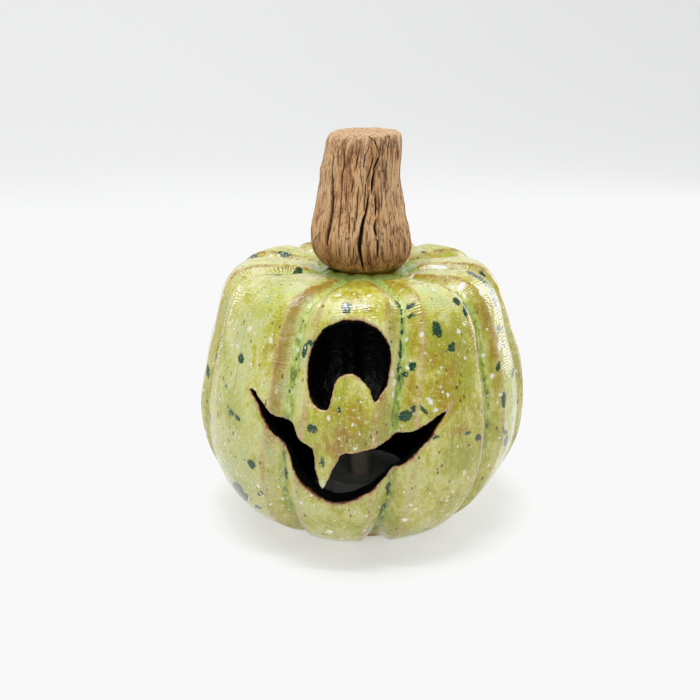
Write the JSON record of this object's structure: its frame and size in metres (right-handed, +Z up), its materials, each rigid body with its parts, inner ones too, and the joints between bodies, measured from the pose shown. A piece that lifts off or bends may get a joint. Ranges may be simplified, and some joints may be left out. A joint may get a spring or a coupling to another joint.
{
  "type": "ceramic pumpkin figure",
  "caption": "Hollow glazed stoneware jack-o'-lantern with carved eye and grin, bark-textured clay stem and open foot, standing over a small battery tealight.",
  "frame": {"origin": "middle of the footprint on the table: the centre of the bounding box seen from above, at the height of the foot ring's underside", "axes": "+Z up along the stem; the carved face looks along -Y; +X is to the right for someone facing it"},
  "size_m": [0.129, 0.1276, 0.1528],
  "materials": {
    "yellow_green_glaze": "glossy mottled yellow-green and ochre glaze with dark green spots outside, black glaze inside",
    "bare_stem_clay": "matt unglazed brown clay with deep bark cracks",
    "white_cup_plastic": "moulded warm white",
    "black_base_plastic": "fine-grained black",
    "grey_switch_plastic": "satin dark grey",
    "frosted_lens_plastic": "frosted warm white",
    "lamp_epoxy": "clear warm epoxy",
    "tinned_wire": "tinned",
    "spring_brass": "plain strip",
    "cell_steel": "plated can"
  },
  "bodies": {
    "tealight": {"tealight_cup": "white_cup_plastic", "tealight_base": "black_base_plastic", "flame_lens": "frosted_lens_plastic", "led": "lamp_epoxy", "anode_lead": "tinned_wire", "cathode_lead": "tinned_wire", "contact_spring": "spring_brass", "coin_cell": "cell_steel"},
    "pumpkin": {"pumpkin_shell": "yellow_green_glaze", "stem": "bare_stem_clay"},
    "door": {"battery_door": "black_base_plastic"},
    "switch": {"switch_slider": "grey_switch_plastic"}
  },
  "joints": [
    {"name": "pumpkin_lift", "type": "slide", "parent": "tealight", "child": "pumpkin", "axis": [0, 0, 1], "range_m": [0, 0.06]},
    {"name": "door_turn", "type": "hinge", "parent": "tealight", "child": "door", "pos_m": [-0.00384, 0.00031, 0.0015], "axis": [0, 0, 1], "range_deg": [0, 30]},
    {"name": "switch_slide", "type": "slide", "parent": "tealight", "child": "switch", "axis": [0, 1, 0], "range_m": [0, 0.0022]}
  ]
}
